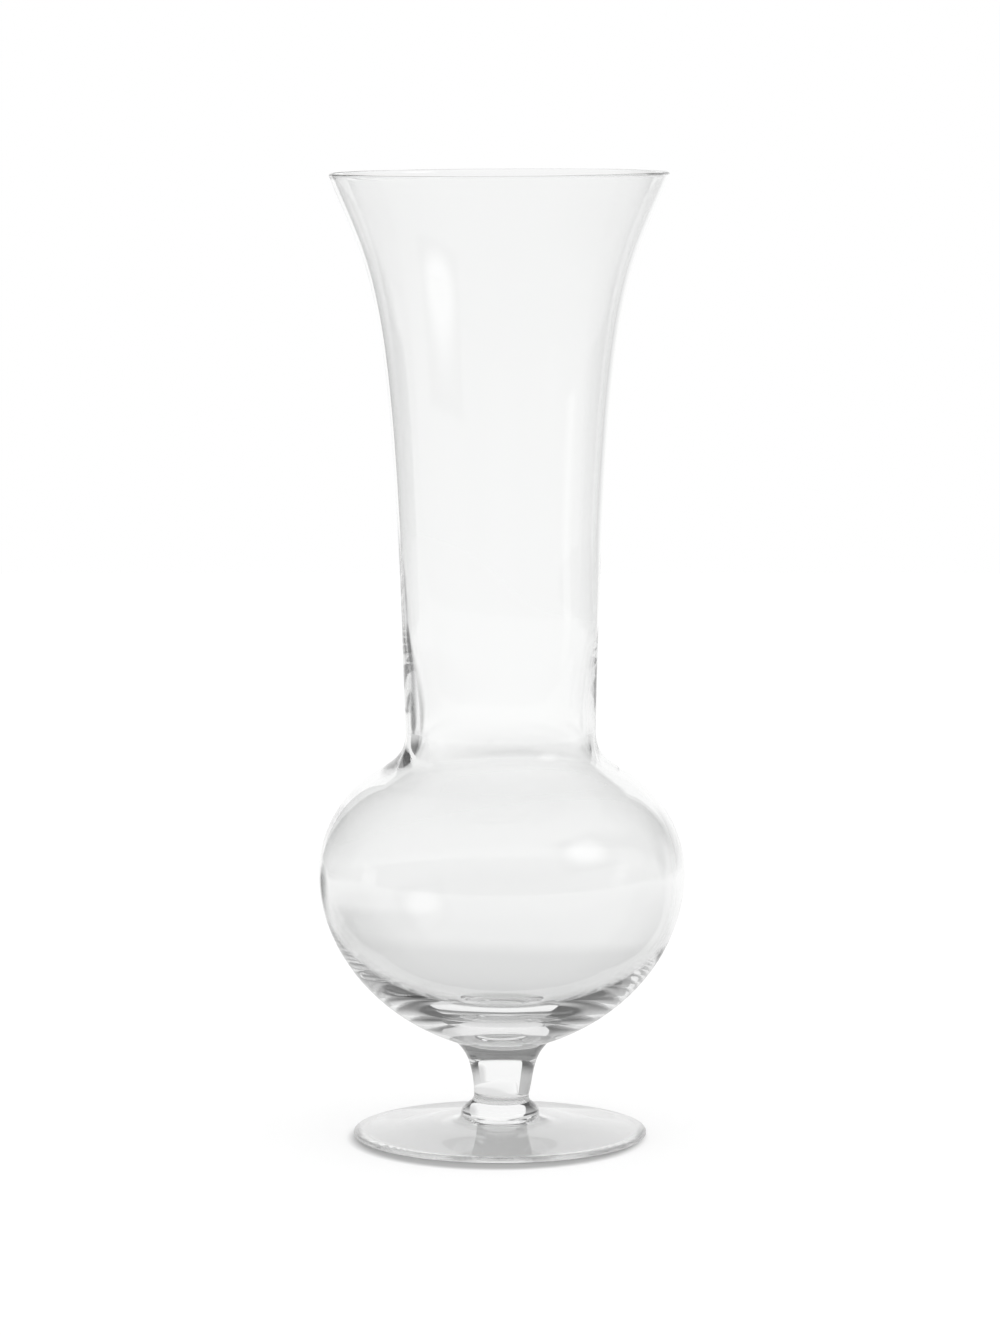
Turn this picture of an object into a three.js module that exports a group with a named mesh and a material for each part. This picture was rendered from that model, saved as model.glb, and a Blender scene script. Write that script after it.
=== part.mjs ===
// A clear glass vase: a trumpet neck on a flattened bulb, on a waisted stem and a round foot.
// Millimetres, +Z up, with the origin on the table under the middle of the foot.
// The four pieces are gathers of glass joined hot: each weld is a pair of equal flat faces.
import * as THREE from "three";

// Foot: a thin shallow cone with a rounded edge, hollow below, standing on a flat ring
const footRadius = 76.2;
const footEdge = 2.8;
const footConeRise = 8;
const footWall = 2.8;
const footRingWidth = 4;

// Stem: solid, a rounded pad on the foot, a waist low down, then a long flare into the bulb
const padRadius = 20.4;
const padRise = 4.2;
const padDraw = 1.8;
const stemFlareHeight = 6.5;
const stemWaistRadius = 14.3;
const stemTaperHeight = 28;
const stemBulbRadius = 24.5;

// Bulb: a flattened bubble that turns up through a soft crease into the neck
const equatorHeight = 88;
const bulbRadius = 95;
const shoulderRise = 50.7;
const creaseRise = 23.8;
const creaseReach = 18.7;

// Neck: drawn almost straight, then flaring late into the lip
const neckRadius = 49.3;
const neckLength = 288;
const lipRadius = 87.2;

// Thickness of the glass, from the lip down to the floor of the chamber
const lipWall = 2.6;
const neckWall = 2.1;
const creaseWall = 5.6;
const creaseFade = 58;
const shoulderWall = 4;
const bulbWall = 2.8;
const floorThickness = 11;

// Slopes of the outline in degrees, above the horizontal
const baseSlope = 19;
const shoulderSlope = 31.7;
const stemTopSlope = 46;
const stemWaistSlope = 83;
const padSlope = 45;
const neckSlope = 88.7;
const lipSlope = 68.5;

// Fullness: the share of a curve's span for which it holds its first or last slope
const neckFull = [0.82, 0.2];
const creaseFull = [0.48, 0.43];
const throatFull = [0.42, 0.25];
const shoulderFull = [0.42, 0.25];
const bellyFull = [0.45, 0.29];
const chamberFull = [0.4, 0.43];
const stemFull = [0.6, 0.3];
const flareFull = [0.35, 0.45];
const padFull = [0.5, 0.35];
const hollowFull = [0.4, 0.4];

// Facets round the axis, and stretches along the neck and along a long or a short curve
const turns = 48;
const neckCurve = 14;
const longCurve = 9;
const shortCurve = 6;

// The stack, from the table up
const stemSeat = footEdge + footConeRise;
const padHeight = stemSeat + padRise;
const waistHeight = padHeight + stemFlareHeight;
const bulbSeat = waistHeight + stemTaperHeight;
const equator = bulbSeat + equatorHeight;
const shoulderHeight = equator + shoulderRise;
const neckSeat = shoulderHeight + creaseRise;
const lipTop = neckSeat + neckLength;

// A point of an outline: distance from the axis, height
function at(radius, height) {
  return new THREE.Vector2(radius, height);
}

// A unit step along an outline, at an angle in degrees above the outward horizontal
function heading(degrees) {
  const angle = THREE.MathUtils.degToRad(degrees);
  return at(Math.cos(angle), Math.sin(angle));
}

const up = heading(90);
const outward = heading(0);
const overShoulder = heading(180 - shoulderSlope);
const upNeck = heading(neckSlope);
const upStem = heading(stemWaistSlope);
const overPad = heading(180 - padSlope);

// A curve that leaves one point along its heading and arrives at the other along its own
function bend(from, leaving, to, arriving, full, stretches) {
  const span = from.distanceTo(to);
  const leave = from.clone().addScaledVector(leaving, span * full[0]);
  const arrive = to.clone().addScaledVector(arriving, -span * full[1]);
  return new THREE.CubicBezierCurve(from, leave, arrive, to).getSpacedPoints(stretches);
}

// A round edge: half a circle or less about a centre, between two angles in radians
function round(centre, radius, first, last) {
  const points = [];
  for (let step = 0; step <= shortCurve; step++) {
    const angle = THREE.MathUtils.lerp(first, last, step / shortCurve);
    points.push(at(centre.x + radius * Math.cos(angle), centre.y + radius * Math.sin(angle)));
  }
  return points;
}

// Stretches that follow on from one another, with the points that they share kept once
function joined(...stretches) {
  const closest = 1e-6;
  const outline = [];
  for (const point of stretches.flat()) {
    const last = outline[outline.length - 1];
    if (!last || last.distanceTo(point) > closest) outline.push(point);
  }
  return outline;
}

// Underside hollow and standing ring, round edge, then the cone up to the weld
function footOutline() {
  const edgeRound = footEdge / 2;
  const edgeCentre = at(footRadius - edgeRound, edgeRound);
  const coneSlope = Math.atan2(footConeRise, edgeCentre.x - padRadius);
  const downCone = heading(-THREE.MathUtils.radToDeg(coneSlope));
  const hollow = at(0, stemSeat - footWall);
  const ringBore = at(edgeCentre.x - footRingWidth, 0);
  return joined(
    bend(hollow, outward, ringBore, downCone, hollowFull, longCurve),
    round(edgeCentre, edgeRound, -Math.PI / 2, Math.PI / 2 - coneSlope),
    [at(padRadius, stemSeat), at(0, stemSeat)],
  );
}

// Up the pad's side and over it, in to the waist, then out to the bulb's weld
function stemOutline() {
  const footWeld = at(padRadius, stemSeat);
  const padTop = at(padRadius - padDraw, padHeight);
  const waist = at(stemWaistRadius, waistHeight);
  const bulbWeld = at(stemBulbRadius, bulbSeat);
  return joined(
    [at(0, stemSeat)],
    bend(footWeld, up, padTop, overPad, padFull, shortCurve),
    bend(padTop, overPad, waist, upStem, flareFull, shortCurve),
    bend(waist, upStem, bulbWeld, heading(stemTopSlope), stemFull, longCurve),
    [at(0, bulbSeat)],
  );
}

// Belly, shoulder, crease and collar, from the weld with the stem up to the weld with the neck
function bulbOutside(shoulder) {
  const weld = at(stemBulbRadius, bulbSeat);
  const side = at(bulbRadius, equator);
  const collar = at(neckRadius, neckSeat);
  return joined(
    [at(0, bulbSeat)],
    bend(weld, heading(baseSlope), side, up, bellyFull, longCurve),
    bend(side, up, shoulder, overShoulder, shoulderFull, longCurve),
    bend(shoulder, overShoulder, collar, upNeck, creaseFull, shortCurve),
  );
}

// The hollow for water, from its floor up to the throat of the neck
function bulbChamber(shoulder) {
  const floor = at(0, bulbSeat + floorThickness);
  const side = at(bulbRadius - bulbWall, equator);
  const inward = heading(-90 - shoulderSlope);
  const chamberShoulder = shoulder.clone().addScaledVector(inward, shoulderWall);
  const collar = at(neckRadius - creaseWall, neckSeat);
  return joined(
    bend(floor, outward, side, up, chamberFull, longCurve),
    bend(side, up, chamberShoulder, overShoulder, shoulderFull, longCurve),
    bend(chamberShoulder, overShoulder, collar, upNeck, throatFull, shortCurve),
  );
}

function bulbOutline() {
  const shoulder = at(neckRadius + creaseReach, shoulderHeight);
  return joined(bulbOutside(shoulder), bulbChamber(shoulder).reverse());
}

// Level width of the neck's glass: thick at the crease, thin in the middle, fuller at the lip
function neckGlass(height) {
  const lipShare = (height - neckSeat) / neckLength;
  const creaseShare = THREE.MathUtils.smoothstep(neckSeat + creaseFade - height, 0, creaseFade);
  const towardsLip = (lipWall - neckWall) * lipShare ** 2;
  const towardsCrease = (creaseWall - neckWall) * creaseShare;
  return neckWall + towardsLip + towardsCrease;
}

// Up the outside, over the half round lip and down the inside to the same ring
function neckOutline() {
  const collar = at(neckRadius, neckSeat);
  const lipRound = neckGlass(lipTop) / 2;
  const lip = at(lipRadius, lipTop - lipRound);
  const outside = bend(collar, upNeck, lip, heading(lipSlope), neckFull, neckCurve);
  const inside = outside.map((point) => at(point.x - neckGlass(point.y), point.y));
  const lipCentre = at(lipRadius - neckGlass(lip.y) / 2, lip.y);
  return joined(outside, round(lipCentre, lipRound, 0, Math.PI), inside.reverse(), [collar]);
}

// An outline turned once round the vertical axis, in clear glass
function turned(name, outline) {
  const geometry = new THREE.LatheGeometry(outline, turns);
  geometry.rotateX(Math.PI / 2);
  const glass = new THREE.MeshStandardMaterial({
    color: 0xf2f6f5,
    roughness: 0.03,
    metalness: 0,
    transparent: true,
    opacity: 0.35,
  });
  const piece = new THREE.Mesh(geometry, glass);
  piece.name = name;
  return piece;
}

const vase = new THREE.Group();
vase.name = "footed_glass_vase";
vase.add(turned("foot", footOutline()));
vase.add(turned("stem", stemOutline()));
vase.add(turned("bulb", bulbOutline()));
vase.add(turned("neck", neckOutline()));

export default vase;
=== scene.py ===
import math

import bmesh
import bpy
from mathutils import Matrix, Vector


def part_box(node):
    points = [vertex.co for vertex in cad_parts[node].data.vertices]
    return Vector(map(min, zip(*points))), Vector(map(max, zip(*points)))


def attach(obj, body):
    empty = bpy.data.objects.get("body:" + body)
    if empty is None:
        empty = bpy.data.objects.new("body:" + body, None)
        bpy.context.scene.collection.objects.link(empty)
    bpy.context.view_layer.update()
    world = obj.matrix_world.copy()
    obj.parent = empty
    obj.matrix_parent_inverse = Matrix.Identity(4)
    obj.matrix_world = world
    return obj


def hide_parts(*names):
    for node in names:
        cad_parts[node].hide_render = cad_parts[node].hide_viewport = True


# A clear glass vase, blown and joined by hand: foot, stem, bulb and neck, each a turned piece.
# Metres, +Z up, with the origin on the table under the middle of the foot.
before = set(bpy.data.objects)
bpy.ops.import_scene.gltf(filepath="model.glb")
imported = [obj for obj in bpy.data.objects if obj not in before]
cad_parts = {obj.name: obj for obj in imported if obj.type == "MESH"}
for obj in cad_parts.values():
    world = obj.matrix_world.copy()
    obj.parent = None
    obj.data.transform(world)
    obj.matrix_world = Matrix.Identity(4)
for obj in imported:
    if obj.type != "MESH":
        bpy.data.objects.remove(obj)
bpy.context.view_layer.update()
MM = 0.001

# Places that the frame gives: the welds, the top of the lip and the widest radii
STEM_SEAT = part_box("stem")[0].z
BULB_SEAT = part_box("bulb")[0].z
NECK_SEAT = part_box("neck")[0].z
LIP_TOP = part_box("neck")[1].z
FOOT_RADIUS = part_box("foot")[1].x
STEM_BULB_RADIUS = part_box("stem")[1].x
BULB_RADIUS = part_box("bulb")[1].x
LIP_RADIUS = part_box("neck")[1].x

# Foot: a thin shallow cone with a rounded edge, hollow below, standing on a flat ring
FOOT_EDGE = 2.8 * MM
FOOT_WALL = 2.8 * MM
FOOT_RING_WIDTH = 4 * MM

# Stem: a rounded pad on the foot, a waist low down, then a long flare into the bulb
PAD_RADIUS = 20.4 * MM
PAD_RISE = 4.2 * MM
PAD_DRAW = 1.8 * MM
STEM_FLARE_HEIGHT = 6.5 * MM
STEM_WAIST_RADIUS = 14.3 * MM

# Bulb and neck: the outside
EQUATOR_HEIGHT = 88 * MM
SHOULDER_RISE = 50.7 * MM
CREASE_REACH = 18.7 * MM
NECK_RADIUS = 49.3 * MM
EQUATOR = BULB_SEAT + EQUATOR_HEIGHT
SHOULDER_HEIGHT = EQUATOR + SHOULDER_RISE

# Thickness of the glass, from the lip down to the floor of the chamber
LIP_WALL = 2.6 * MM
NECK_WALL = 2.1 * MM
CREASE_WALL = 5.6 * MM
CREASE_FADE = 58 * MM
SHOULDER_WALL = 4 * MM
BULB_WALL = 2.8 * MM
FLOOR_THICKNESS = 11 * MM

# Slopes of the outline in degrees, above the horizontal
BASE_SLOPE = 19
SHOULDER_SLOPE = 31.7
STEM_TOP_SLOPE = 46
STEM_WAIST_SLOPE = 83
PAD_SLOPE = 45
NECK_SLOPE = 88.7
LIP_SLOPE = 68.5

# Fullness: the share of a curve's span for which it holds its first or last slope
NECK_FULL = (0.82, 0.2)
CREASE_FULL = (0.48, 0.43)
SHOULDER_FULL = (0.42, 0.25)
THROAT_FRONT_FULL = (0.42, 0.42)
THROAT_BACK_FULL = (0.42, 0.68)
BELLY_FULL = (0.45, 0.29)
CHAMBER_FULL = (0.4, 0.43)
STEM_FULL = (0.6, 0.3)
PAD_FULL = (0.5, 0.35)
FLARE_FULL = (0.35, 0.45)
HOLLOW_FULL = (0.4, 0.4)

# The higher this power, the closer the throat of the back keeps to the back
BACK_POWER = 3

# Signs of the hand, as heights with offsets in X: of the glass from the true axis, and of the
# cavity from the middle of the glass. From one height up, the lip slopes down to the left.
AXIS_DRIFT = (
    (0.010, -0.9 * MM),
    (0.030, 0.4 * MM),
    (0.137, 0.0),
    (0.250, -0.8 * MM),
    (0.500, -1.3 * MM),
)
CAVITY_DRIFT = (
    (0.061, 0.0),
    (0.137, -1.3 * MM),
    (0.215, 1.2 * MM),
    (0.260, 0.8 * MM),
    (0.320, -0.7 * MM),
    (0.500, -0.5 * MM),
)
LIP_TILT = 0.006
LIP_TILT_FROM = 0.40

# Facets round the axis, stretches along a curve, the finer steps that each stretch is measured
# by, and the distance under which two points are one
TURNS = 192
NECK_CURVE = 240
LONG_CURVE = 48
SHORT_CURVE = 16
FINER = 8
CLOSEST = 1e-6

# Corners of a square, as signs of X and Y
SQUARE = ((-1, -1), (1, -1), (1, 1), (-1, 1))

# Glass: its tint, how it bends light, a faint waviness, and a polish that dulls in places
GLASS_TINT = (0.982, 0.985, 0.983, 1)
GLASS_IOR = 1.5
SWIRL_SCALE = 24
SWIRL_DETAIL = 2
WAVE_HEIGHT = 0.05 * MM
DULL_FROM = 0.35
DULL_TO = 0.75
DULLEST = 0.04

# Camera, with its tilt below the horizon in degrees
LENS = 144.07
SENSOR_WIDTH = 36
CAMERA_PLACE = (-0.93 * MM, -2.741, 0.5612)
CAMERA_DOWN = 6.5865

# Light: an even white sky, which is also the sweep behind the table, and a soft lamp overhead
SKY_LEVEL = 1.0
LAMP_SIZE = 1.6
LAMP_POWER = 2
LAMP_PLACE = (0.5, -0.2, 2.0)

# How often light may bounce in all, mirror off glass, and pass welds and the edges of patches
MOST_BOUNCES = 128
MIRROR_BOUNCES = 96
CLEAR_BOUNCES = 32

# Floor: its paint, and how far the camera sees that lifted towards white, in the open and under
# the contact shadow painted into the floor a little to the left of the foot and before it
STAGE_REACH = 3.0
TABLE_GAP = 0.3 * MM
PAINT = 0.45
OPEN_LIFT = 0.6
PAINTED_SHADOW_LIFT = 0.09
PAINTED_SHADOW_NARROWING = 1.08
PAINTED_SHADOW_LEFT = 3 * MM
PAINTED_SHADOW_FORWARD = 8 * MM
PAINTED_SHADOW_FADE = 10 * MM

# Floor as glass shows it: distance from the axis, in which X counts for less, and the level there
FLOOR_SIDEWAYS = 0.45
FLOOR_TONES = ((0.35, 0.8), (0.47, 0.93), (1.2, 1.0))

# Only glass shows the room, the cards and the patches. Azimuths are in degrees, from +Y towards +X.
# Room: dim walls, lighter at their foot, open behind the table and through a low gap at the left
ROOM_TOP = 3.0
ROOM_LEVEL = 0.25
WALL_FOOT_LEVEL = 0.5
WALL_FADE = 1.2
OPEN_FIRST = -26
OPEN_LAST = 47
OPEN_TOP = 1.8
GAP_FIRST = 264
GAP_LAST = 276
GAP_TOP = 0.6

# Cards: dark, but pale at their foot, one at each side of the sweep
CARD_STEPS = 24
CARD_DISTANCE = 1.9
CARD_TOP = 2.2
CARD_FADE = 0.6
CARD_LEVEL = 0.1
CARD_LEFT_FIRST = -72
CARD_RIGHT_FIRST = 36
CARD_RIGHT_LAST = 76

# Patches and a softbox: their levels, the share of a radius over which they fade, their places
# The patches are dim sheets that paint shade into what the glass reflects and shows through it.
DIM = 0.15
SHADE_LEFT = 0.55
SHADE_RIGHT = 0.75
SOFTBOX_LEVEL = 1.3
PATCH_FADE = 0.7
DIM_LEFT = dict(wide=0.8, deep=0.4, azimuth=-96.7, distance=0.342)
FLOOR_LEFT = dict(wide=1.8, deep=1.8, azimuth=-42, distance=CARD_DISTANCE)
FLOOR_RIGHT = dict(wide=1.8, deep=1.8, azimuth=40, distance=CARD_DISTANCE)
NEAR_LEFT = dict(wide=0.44, deep=1.5, azimuth=-32.5, distance=1.05)
SHADE_SHEET_RIGHT = dict(wide=0.9, tall=0.9, azimuth=33, distance=CARD_DISTANCE, height=0.2)
SOFTBOX = dict(wide=1.0, tall=0.9, azimuth=118.5, distance=1.3, height=0.93)


def at(radius, height):
    return Vector((radius, height))


def heading(degrees):
    angle = math.radians(degrees)
    return at(math.cos(angle), math.sin(angle))


UP = heading(90)
OUTWARD = heading(0)
OVER_SHOULDER = heading(180 - SHOULDER_SLOPE)
INTO_SHOULDER = heading(-90 - SHOULDER_SLOPE)
UP_NECK = heading(NECK_SLOPE)
OVER_PAD = heading(180 - PAD_SLOPE)
UP_STEM = heading(STEM_WAIST_SLOPE)


def evenly(points, stretches):
    """The same line, with its points the same distance apart."""
    lengths = [0.0]
    for first, second in zip(points, points[1:]):
        lengths.append(lengths[-1] + (second - first).length)
    spaced = [points[0]]
    index = 0
    for step in range(1, stretches):
        wanted = lengths[-1] * step / stretches
        while lengths[index + 1] < wanted:
            index += 1
        share = (wanted - lengths[index]) / (lengths[index + 1] - lengths[index])
        spaced.append(points[index].lerp(points[index + 1], share))
    return spaced + [points[-1]]


def bend(start, leaving, end, arriving, full, stretches):
    """A curve that leaves one point along its heading and arrives at the other along its own."""
    span = (end - start).length
    leave = start + leaving * span * full[0]
    arrive = end - arriving * span * full[1]
    steps = FINER * stretches
    points = []
    for step in range(steps + 1):
        late = step / steps
        early = 1 - late
        held = start * early**3 + end * late**3
        points.append(held + (leave * early + arrive * late) * (3 * early * late))
    return evenly(points, stretches)


def arc(centre, radius, first, last):
    """A round edge about a centre, between two angles in radians."""
    points = []
    for step in range(SHORT_CURVE + 1):
        angle = first + (last - first) * step / SHORT_CURVE
        points.append(centre + at(radius * math.cos(angle), radius * math.sin(angle)))
    return points


def joined(*stretches):
    """Stretches that follow on from one another, with the points that they share kept once."""
    outline = []
    for stretch in stretches:
        for point in stretch:
            if not outline or (outline[-1] - point).length > CLOSEST:
                outline.append(point)
    return outline


def eased(share):
    """A share from 0 to 1 that starts and ends gently."""
    return share * share * (3 - 2 * share)


def along(stations, height):
    """A value between the stations' values, eased from each station to the next."""
    if height <= stations[0][0]:
        return stations[0][1]
    for (low, first), (high, second) in zip(stations, stations[1:]):
        if height <= high:
            return first + (second - first) * eased((height - low) / (high - low))
    return stations[-1][1]


def foot_outline():
    edge_round = FOOT_EDGE / 2
    edge_centre = at(FOOT_RADIUS - edge_round, edge_round)
    seat = at(PAD_RADIUS, STEM_SEAT)
    cone_slope = math.atan2(seat.y - FOOT_EDGE, edge_centre.x - seat.x)
    down_cone = heading(-math.degrees(cone_slope))
    hollow = at(0, STEM_SEAT - FOOT_WALL)
    ring_bore = at(edge_centre.x - FOOT_RING_WIDTH, 0)
    edge = arc(edge_centre, edge_round, -math.pi / 2, math.pi / 2 - cone_slope)
    return joined(
        bend(hollow, OUTWARD, ring_bore, down_cone, HOLLOW_FULL, LONG_CURVE),
        edge,
        evenly([edge[-1], seat], SHORT_CURVE),
        [at(0, STEM_SEAT)],
    )


def stem_outline():
    foot_weld = at(PAD_RADIUS, STEM_SEAT)
    pad_top = at(PAD_RADIUS - PAD_DRAW, STEM_SEAT + PAD_RISE)
    waist = at(STEM_WAIST_RADIUS, pad_top.y + STEM_FLARE_HEIGHT)
    bulb_weld = at(STEM_BULB_RADIUS, BULB_SEAT)
    return joined(
        [at(0, STEM_SEAT)],
        bend(foot_weld, UP, pad_top, OVER_PAD, PAD_FULL, SHORT_CURVE),
        bend(pad_top, OVER_PAD, waist, UP_STEM, FLARE_FULL, SHORT_CURVE),
        bend(waist, UP_STEM, bulb_weld, heading(STEM_TOP_SLOPE), STEM_FULL, LONG_CURVE),
        [at(0, BULB_SEAT)],
    )


def bulb_outside():
    weld = at(STEM_BULB_RADIUS, BULB_SEAT)
    side = at(BULB_RADIUS, EQUATOR)
    shoulder = at(NECK_RADIUS + CREASE_REACH, SHOULDER_HEIGHT)
    collar = at(NECK_RADIUS, NECK_SEAT)
    return joined(
        [at(0, BULB_SEAT)],
        bend(weld, heading(BASE_SLOPE), side, UP, BELLY_FULL, LONG_CURVE),
        bend(side, UP, shoulder, OVER_SHOULDER, SHOULDER_FULL, LONG_CURVE),
        bend(shoulder, OVER_SHOULDER, collar, UP_NECK, CREASE_FULL, LONG_CURVE),
    )


def bulb_chamber(throat_full):
    chamber_floor = at(0, BULB_SEAT + FLOOR_THICKNESS)
    side = at(BULB_RADIUS - BULB_WALL, EQUATOR)
    shoulder = at(NECK_RADIUS + CREASE_REACH, SHOULDER_HEIGHT) + INTO_SHOULDER * SHOULDER_WALL
    collar = at(NECK_RADIUS - CREASE_WALL, NECK_SEAT)
    return joined(
        bend(chamber_floor, OUTWARD, side, UP, CHAMBER_FULL, LONG_CURVE),
        bend(side, UP, shoulder, OVER_SHOULDER, SHOULDER_FULL, LONG_CURVE),
        bend(shoulder, OVER_SHOULDER, collar, UP_NECK, throat_full, LONG_CURVE),
    )


def neck_glass(height):
    """Level width of the neck's glass: thick at the crease, thin in the middle, fuller at the lip."""
    lip_share = (height - NECK_SEAT) / (LIP_TOP - NECK_SEAT)
    crease_share = max(0, 1 - (height - NECK_SEAT) / CREASE_FADE)
    towards_lip = (LIP_WALL - NECK_WALL) * lip_share**2
    towards_crease = (CREASE_WALL - NECK_WALL) * eased(crease_share)
    return NECK_WALL + towards_lip + towards_crease


def neck_outside():
    collar = at(NECK_RADIUS, NECK_SEAT)
    lip = at(LIP_RADIUS, LIP_TOP - neck_glass(LIP_TOP) / 2)
    return bend(collar, UP_NECK, lip, heading(LIP_SLOPE), NECK_FULL, NECK_CURVE)


def rows(points, inner, back=None):
    """Outline points at the front and the back, and how far each belongs to the glass's inside."""
    return [(point, behind, inner) for point, behind in zip(points, back or points)]


def bulb_rows():
    chamber_front = bulb_chamber(THROAT_FRONT_FULL)[::-1]
    chamber_back = bulb_chamber(THROAT_BACK_FULL)[::-1]
    return rows(bulb_outside(), 0) + rows(chamber_front, 1, chamber_back)


def neck_rows():
    outside = neck_outside()
    inside = [at(point.x - neck_glass(point.y), point.y) for point in outside]
    lip_round = neck_glass(LIP_TOP) / 2
    lip_centre = (outside[-1] + inside[-1]) / 2
    lip = arc(lip_centre, lip_round, 0, math.pi)[1:-1]
    lip_rows = []
    for step, point in enumerate(lip, 1):
        lip_rows += rows([point], step / (len(lip) + 1))
    return rows(outside, 0) + lip_rows + rows(inside[::-1], 1)


def placed(front, back, inner, turn):
    """A point of the hand-made vase: its axis drifts, its walls are uneven and its lip tilts."""
    angle = 2 * math.pi * turn / TURNS
    behind = ((1 + math.sin(angle)) / 2) ** BACK_POWER
    radius, height = front.lerp(back, behind)
    x = radius * math.cos(angle) + along(AXIS_DRIFT, height) + inner * along(CAVITY_DRIFT, height)
    y = radius * math.sin(angle)
    tilt = along(((LIP_TILT_FROM, 0.0), (LIP_TOP, LIP_TILT)), height)
    return x, y, height + tilt * (x - LIP_RADIUS)


def linked(name, data):
    """A new object in the scene."""
    thing = bpy.data.objects.new(name, data)
    bpy.context.scene.collection.objects.link(thing)
    return thing


def ring(shape, front, back, inner):
    """The corners that a point of an outline makes on its way round: on the axis only one."""
    count = TURNS if front.x > CLOSEST else 1
    return [shape.verts.new(placed(front, back, inner, turn)) for turn in range(count)]


def band(shape, first, second, seam):
    """Faces between two rings, or between a ring and a point on the axis."""
    for turn in range(TURNS):
        after = (turn + 1) % TURNS
        corners = [first[turn % len(first)], first[after % len(first)]]
        corners += [second[after % len(second)], second[turn % len(second)]]
        face = shape.faces.new(list(dict.fromkeys(corners)))
        face.smooth = True
        face.material_index = int(seam)


def is_weld(first, second, seams):
    """Whether faces between two heights lie level, at the height of a seam."""
    at_seam = any(abs(first - seam) < CLOSEST for seam in seams)
    return at_seam and abs(first - second) < CLOSEST


def turned(name, outline, seams, materials):
    """A closed piece turned round the axis. Level faces at a seam's height are welds, not surface."""
    shape = bmesh.new()
    rings = [ring(shape, *row) for row in outline]
    heights = [front.y for front, _, _ in outline]
    pairs = list(zip(range(len(rings)), range(1, len(rings))))
    if len(rings[0]) > 1:
        pairs.append((len(rings) - 1, 0))
    for first, second in pairs:
        band(shape, rings[first], rings[second], is_weld(heights[first], heights[second], seams))
    bmesh.ops.recalc_face_normals(shape, faces=shape.faces)
    for edge in shape.edges:
        edge.smooth = len({face.material_index for face in edge.link_faces}) == 1
    mesh = bpy.data.meshes.new(name)
    shape.to_mesh(mesh)
    shape.free()
    for material in materials:
        mesh.materials.append(material)
    return linked(name, mesh)


def new_material(name):
    """An empty material, and the socket that takes its surface."""
    material = bpy.data.materials.new(name)
    material.use_nodes = True
    nodes, links = material.node_tree.nodes, material.node_tree.links
    nodes.clear()
    output = nodes.new("ShaderNodeOutputMaterial")
    return material, nodes, links, output.inputs["Surface"]


def clear_glass():
    """Fire-polished glass: a faint waviness, and a polish that is not quite even."""
    material, nodes, links, surface = new_material("clear_glass")
    glass = nodes.new("ShaderNodeBsdfPrincipled")
    glass.inputs["Base Color"].default_value = GLASS_TINT
    glass.inputs["Transmission Weight"].default_value = 1
    glass.inputs["IOR"].default_value = GLASS_IOR
    place = nodes.new("ShaderNodeTexCoord")
    swirl = nodes.new("ShaderNodeTexNoise")
    swirl.inputs["Scale"].default_value = SWIRL_SCALE
    swirl.inputs["Detail"].default_value = SWIRL_DETAIL
    wave = nodes.new("ShaderNodeBump")
    wave.inputs["Strength"].default_value = 1
    wave.inputs["Distance"].default_value = WAVE_HEIGHT
    polish = nodes.new("ShaderNodeMapRange")
    polish.inputs["From Min"].default_value = DULL_FROM
    polish.inputs["From Max"].default_value = DULL_TO
    polish.inputs["To Max"].default_value = DULLEST
    links.new(place.outputs["Object"], swirl.inputs["Vector"])
    links.new(swirl.outputs["Fac"], wave.inputs["Height"])
    links.new(swirl.outputs["Fac"], polish.inputs["Value"])
    links.new(wave.outputs["Normal"], glass.inputs["Normal"])
    links.new(polish.outputs["Result"], glass.inputs["Roughness"])
    links.new(glass.outputs["BSDF"], surface)
    return material


def weld():
    """Inside a weld the glass runs on, so light passes it unbent."""
    material, nodes, links, surface = new_material("fused_weld")
    clear = nodes.new("ShaderNodeBsdfTransparent")
    links.new(clear.outputs["BSDF"], surface)
    return material


def build_vase():
    glass = clear_glass()
    seam = weld()
    outlines = {
        "foot": (rows(foot_outline(), 0), {STEM_SEAT}),
        "stem": (rows(stem_outline(), 0), {STEM_SEAT, BULB_SEAT}),
        "bulb": (bulb_rows(), {BULB_SEAT, NECK_SEAT}),
        "neck": (neck_rows(), {NECK_SEAT}),
    }
    for node, (outline, seams) in outlines.items():
        piece = turned(f"glass_{node}", outline, seams, (glass, seam))
        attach(piece, "root")
        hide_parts(node)


def calculated(nodes, links, operation, first, second):
    node = nodes.new("ShaderNodeMath")
    node.operation = operation
    links.new(first, node.inputs[0])
    links.new(second, node.inputs[1])
    return node.outputs["Value"]


def easing(nodes, first, last, at_first, at_last):
    """Eases from one value to another while its input goes from first to last."""
    node = nodes.new("ShaderNodeMapRange")
    node.interpolation_type = "SMOOTHSTEP"
    node.inputs["From Min"].default_value = first
    node.inputs["From Max"].default_value = last
    node.inputs["To Min"].default_value = at_first
    node.inputs["To Max"].default_value = at_last
    return node


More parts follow.
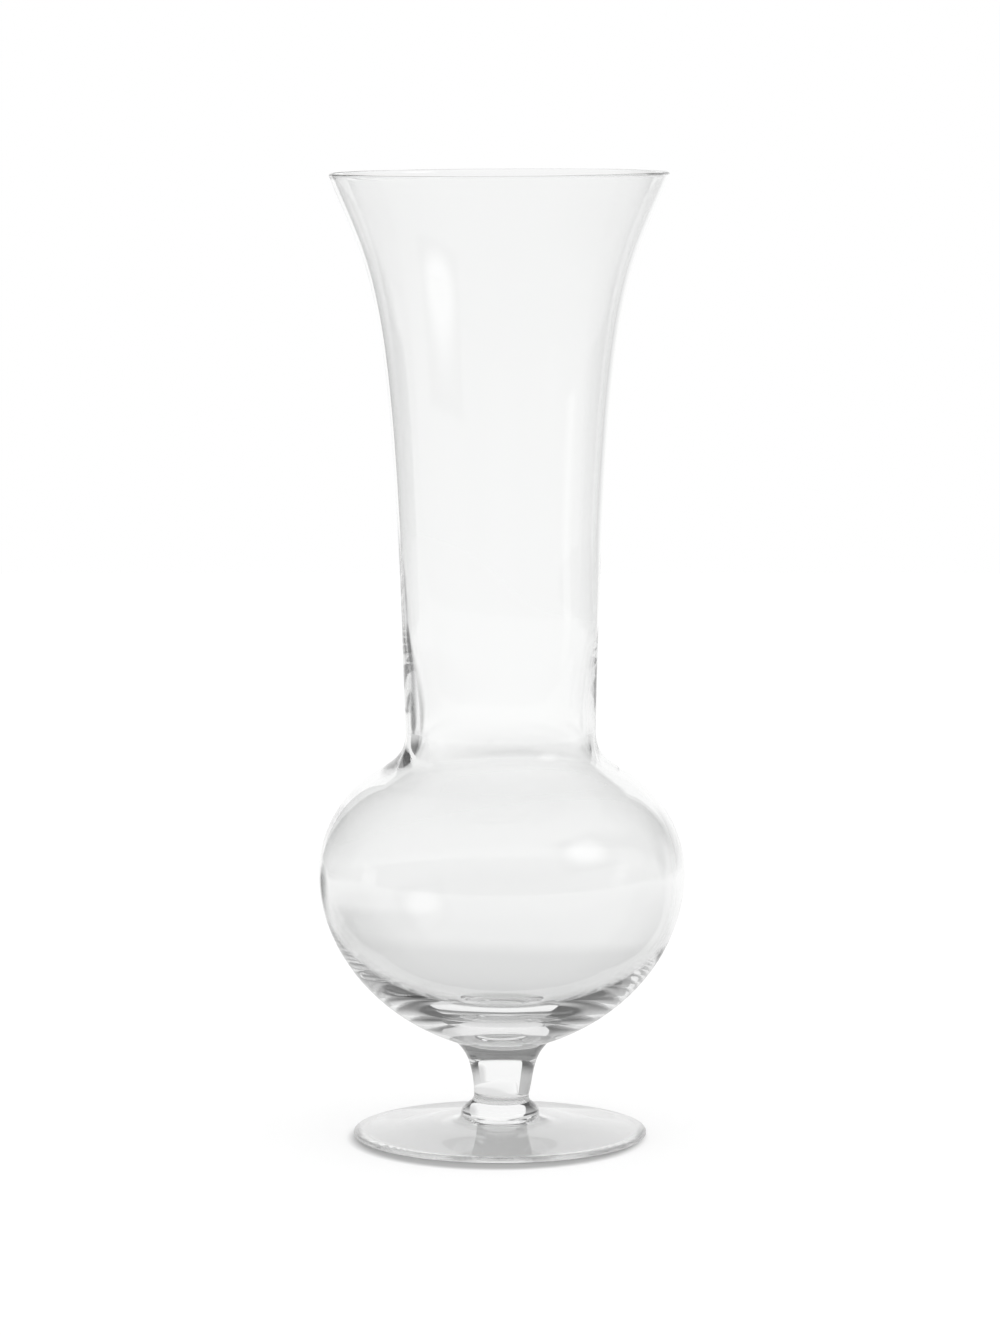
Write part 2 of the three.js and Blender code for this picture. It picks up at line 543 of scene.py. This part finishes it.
def tone_in_glass(nodes, links):
    """How far the floor is lifted where glass shows it: less on the table, then slowly to white."""
    place = nodes.new("ShaderNodeTexCoord")
    spread = nodes.new("ShaderNodeVectorMath")
    spread.operation = "MULTIPLY"
    spread.inputs[1].default_value = (FLOOR_SIDEWAYS, 1, 0)
    away = nodes.new("ShaderNodeVectorMath")
    away.operation = "LENGTH"
    depth = nodes.new("ShaderNodeMapRange")
    depth.inputs["From Max"].default_value = STAGE_REACH
    tone = nodes.new("ShaderNodeValToRGB")
    stops = tone.color_ramp.elements
    for stop, (back, level) in zip((stops[0], stops[1], stops.new(1)), FLOOR_TONES):
        stop.position = back / STAGE_REACH
        stop.color = (level - PAINT, level - PAINT, level - PAINT, 1)
    links.new(place.outputs["Object"], spread.inputs[0])
    links.new(spread.outputs["Vector"], away.inputs[0])
    links.new(away.outputs["Value"], depth.inputs["Value"])
    links.new(depth.outputs["Result"], tone.inputs["Fac"])
    return tone.outputs["Color"]


def painted_shadow_lift(nodes, links):
    """How far the floor is lifted for the camera: hardly before the foot, which paints its contact
    shadow there.
    """
    place = nodes.new("ShaderNodeTexCoord")
    shift = nodes.new("ShaderNodeVectorMath")
    shift.operation = "MULTIPLY_ADD"
    shift.inputs[1].default_value = (PAINTED_SHADOW_NARROWING, 1, 0)
    shift.inputs[2].default_value = (PAINTED_SHADOW_LEFT, PAINTED_SHADOW_FORWARD, 0)
    span = nodes.new("ShaderNodeVectorMath")
    span.operation = "LENGTH"
    lift = easing(nodes, FOOT_RADIUS, FOOT_RADIUS + PAINTED_SHADOW_FADE, PAINTED_SHADOW_LIFT, OPEN_LIFT)
    links.new(place.outputs["Object"], shift.inputs[0])
    links.new(shift.outputs["Vector"], span.inputs[0])
    links.new(span.outputs["Value"], lift.inputs["Value"])
    return lift.outputs["Result"]


def floor_lift(nodes, links):
    """What is added to the paint: one part for the camera, another where glass shows the floor."""
    path = nodes.new("ShaderNodeLightPath").outputs
    shown = calculated(nodes, links, "MAXIMUM", path["Is Glossy Ray"], path["Is Transmission Ray"])
    in_glass = calculated(nodes, links, "MULTIPLY", shown, tone_in_glass(nodes, links))
    # Before the foot the camera's lift is held back, which paints the contact shadow into the floor.
    seen = calculated(nodes, links, "MULTIPLY", path["Is Camera Ray"], painted_shadow_lift(nodes, links))
    return calculated(nodes, links, "ADD", seen, in_glass)


def pale_floor():
    """Paint that is lifted to white for the camera, and to a tone of its own where glass shows it."""
    material, nodes, links, surface = new_material("pale_floor")
    paint = nodes.new("ShaderNodeBsdfDiffuse")
    paint.inputs["Color"].default_value = (PAINT, PAINT, PAINT, 1)
    glow = nodes.new("ShaderNodeEmission")
    both = nodes.new("ShaderNodeAddShader")
    links.new(floor_lift(nodes, links), glow.inputs["Strength"])
    links.new(paint.outputs["BSDF"], both.inputs[0])
    links.new(glow.outputs["Emission"], both.inputs[1])
    links.new(both.outputs["Shader"], surface)
    return material


def stage_mesh(name, corners, faces, material):
    mesh = bpy.data.meshes.new(name)
    mesh.from_pydata(corners, [], faces)
    mesh.materials.append(material)
    piece = linked(name, mesh)
    return piece


def build_floor():
    corners = [(x * STAGE_REACH, y * STAGE_REACH, -TABLE_GAP) for x, y in SQUARE]
    stage_mesh("floor", corners, [(0, 1, 2, 3)], pale_floor())


def glow_in_glass(nodes, links):
    """A glow, and the socket for its level. Where it lights the floor it has the sky's level."""
    path = nodes.new("ShaderNodeLightPath")
    level = nodes.new("ShaderNodeMapRange")
    level.inputs["To Max"].default_value = SKY_LEVEL
    glow = nodes.new("ShaderNodeEmission")
    links.new(path.outputs["Diffuse Depth"], level.inputs["Value"])
    links.new(level.outputs["Result"], glow.inputs["Strength"])
    return glow.outputs["Emission"], level.inputs["To Min"]


def even_glow(name, strength):
    material, nodes, links, surface = new_material(name)
    glow, level = glow_in_glass(nodes, links)
    level.default_value = strength
    links.new(glow, surface)
    return material


def fading_glow(name, foot, top, fade):
    """A wall or card whose level eases from its foot up to a height."""
    material, nodes, links, surface = new_material(name)
    glow, level = glow_in_glass(nodes, links)
    place = nodes.new("ShaderNodeTexCoord")
    split = nodes.new("ShaderNodeSeparateXYZ")
    rise = easing(nodes, 0, fade, foot, top)
    links.new(place.outputs["Object"], split.inputs["Vector"])
    links.new(split.outputs["Z"], rise.inputs["Value"])
    links.new(rise.outputs["Result"], level)
    links.new(glow, surface)
    return material


def round_fade(nodes, links, brightest):
    """From nothing at the edge of a sheet that runs from -1 to 1, up to a value in its middle."""
    place = nodes.new("ShaderNodeTexCoord")
    ball = nodes.new("ShaderNodeTexGradient")
    ball.gradient_type = "SPHERICAL"
    fade = easing(nodes, 0, PATCH_FADE, 0, brightest)
    links.new(place.outputs["Object"], ball.inputs["Vector"])
    links.new(ball.outputs["Fac"], fade.inputs["Value"])
    return fade.outputs["Result"]


def lamp_cloth():
    """A lamp behind cloth: bright in the middle, fading to its edge."""
    material, nodes, links, surface = new_material("lamp_cloth")
    glow, level = glow_in_glass(nodes, links)
    links.new(round_fade(nodes, links, SOFTBOX_LEVEL), level)
    links.new(glow, surface)
    return material


def soft_patch(name, strength):
    """A darker place that paints shade into what glass shows, clear towards its edge."""
    material, nodes, links, surface = new_material(name)
    glow, level = glow_in_glass(nodes, links)
    level.default_value = strength
    clear = nodes.new("ShaderNodeBsdfTransparent")
    mix = nodes.new("ShaderNodeMixShader")
    links.new(round_fade(nodes, links, 1), mix.inputs["Fac"])
    links.new(clear.outputs["BSDF"], mix.inputs[1])
    links.new(glow, mix.inputs[2])
    links.new(mix.outputs["Shader"], surface)
    return material


def only_in_glass(piece):
    piece.visible_camera = False
    piece.visible_diffuse = False
    piece.visible_shadow = False


def spot(azimuth, distance, height):
    angle = math.radians(azimuth)
    return distance * math.sin(angle), distance * math.cos(angle), height


def card(name, material, first, last, low=0, high=ROOM_TOP, distance=STAGE_REACH):
    """An upright card, curved round the axis between two azimuths."""
    corners = []
    for step in range(CARD_STEPS + 1):
        azimuth = first + (last - first) * step / CARD_STEPS
        corners += [spot(azimuth, distance, low), spot(azimuth, distance, high)]
    faces = [(2 * step, 2 * step + 2, 2 * step + 3, 2 * step + 1) for step in range(CARD_STEPS)]
    only_in_glass(stage_mesh(name, corners, faces, material))


def sheet(name, material, wide, tall):
    """A flat sheet whose mesh runs from -1 to 1, and whose object carries its size."""
    corners = [(x, y, 0) for x, y in SQUARE]
    piece = stage_mesh(name, corners, [(0, 1, 2, 3)], material)
    piece.scale = (wide / 2, tall / 2, 1)
    only_in_glass(piece)
    return piece


def laid(name, material, wide, deep, azimuth, distance):
    """A sheet on the floor, whose depth points away from the axis."""
    piece = sheet(name, material, wide, deep)
    piece.location = spot(azimuth, distance, 0)
    piece.rotation_euler.z = -math.radians(azimuth)


def facing(name, material, wide, tall, azimuth, distance, height):
    """A sheet that stands up and faces the axis."""
    piece = sheet(name, material, wide, tall)
    piece.location = spot(azimuth, distance, height)
    piece.rotation_euler = (math.pi / 2, 0, -math.radians(azimuth))


def build_room():
    walls = fading_glow("room", WALL_FOOT_LEVEL, ROOM_LEVEL, WALL_FADE)
    card("room", walls, OPEN_LAST, GAP_FIRST)
    card("room_left", walls, GAP_FIRST, GAP_LAST, low=GAP_TOP)
    card("room_back_left", walls, GAP_LAST, OPEN_FIRST + 360)
    card("room_over_sweep", walls, OPEN_FIRST, OPEN_LAST, low=OPEN_TOP)
    ceiling = sheet("ceiling", even_glow("ceiling", ROOM_LEVEL), 2 * STAGE_REACH, 2 * STAGE_REACH)
    ceiling.location.z = ROOM_TOP


def build_patches():
    dim = soft_patch("dim", DIM)
    shade_left = soft_patch("shade_left", SHADE_LEFT)
    shade_right = soft_patch("shade_right", SHADE_RIGHT)
    laid("dim_left", dim, **DIM_LEFT)
    laid("floor_left", shade_left, **FLOOR_LEFT)
    laid("floor_right", shade_right, **FLOOR_RIGHT)
    # A grey standing sheet at the right, which paints a light shade into what the glass shows.
    facing("shade_sheet_right", shade_right, **SHADE_SHEET_RIGHT)
    laid("near_left", dim, **NEAR_LEFT)


def build_cards():
    left = fading_glow("card_left", SHADE_LEFT, CARD_LEVEL, CARD_FADE)
    right = fading_glow("card_right", SHADE_RIGHT, CARD_LEVEL, CARD_FADE)
    size = dict(high=CARD_TOP, distance=CARD_DISTANCE)
    card("card_left", left, CARD_LEFT_FIRST, OPEN_FIRST, **size)
    card("card_right", right, CARD_RIGHT_FIRST, CARD_RIGHT_LAST, **size)
    facing("softbox", lamp_cloth(), **SOFTBOX)


def build_sky():
    world = bpy.data.worlds.new("studio")
    bpy.context.scene.world = world
    world.use_nodes = True
    nodes, links = world.node_tree.nodes, world.node_tree.links
    nodes.clear()
    output = nodes.new("ShaderNodeOutputWorld")
    sky = nodes.new("ShaderNodeBackground")
    sky.inputs["Color"].default_value = (1, 1, 1, 1)
    sky.inputs["Strength"].default_value = SKY_LEVEL
    links.new(sky.outputs["Background"], output.inputs["Surface"])


def build_lamp():
    data = bpy.data.lights.new("overhead", "AREA")
    data.shape = "DISK"
    data.size = LAMP_SIZE
    data.energy = LAMP_POWER
    lamp = linked("overhead", data)
    lamp.location = LAMP_PLACE
    lamp.rotation_euler = (-lamp.location).to_track_quat("-Z", "Y").to_euler()
    lamp.visible_glossy = False
    lamp.visible_transmission = False


def build_camera():
    data = bpy.data.cameras.new("camera")
    data.lens = LENS
    data.sensor_width = SENSOR_WIDTH
    camera = linked("camera", data)
    camera.location = CAMERA_PLACE
    camera.rotation_euler = (math.radians(90 - CAMERA_DOWN), 0, 0)
    bpy.context.scene.camera = camera


def set_scene():
    scene = bpy.context.scene
    scene.view_settings.view_transform = "Standard"
    scene.cycles.max_bounces = MOST_BOUNCES
    scene.cycles.transmission_bounces = MOST_BOUNCES
    scene.cycles.glossy_bounces = MIRROR_BOUNCES
    scene.cycles.transparent_max_bounces = CLEAR_BOUNCES


build_camera()
build_vase()
build_floor()
build_room()
build_patches()
build_cards()
build_sky()
build_lamp()
set_scene()
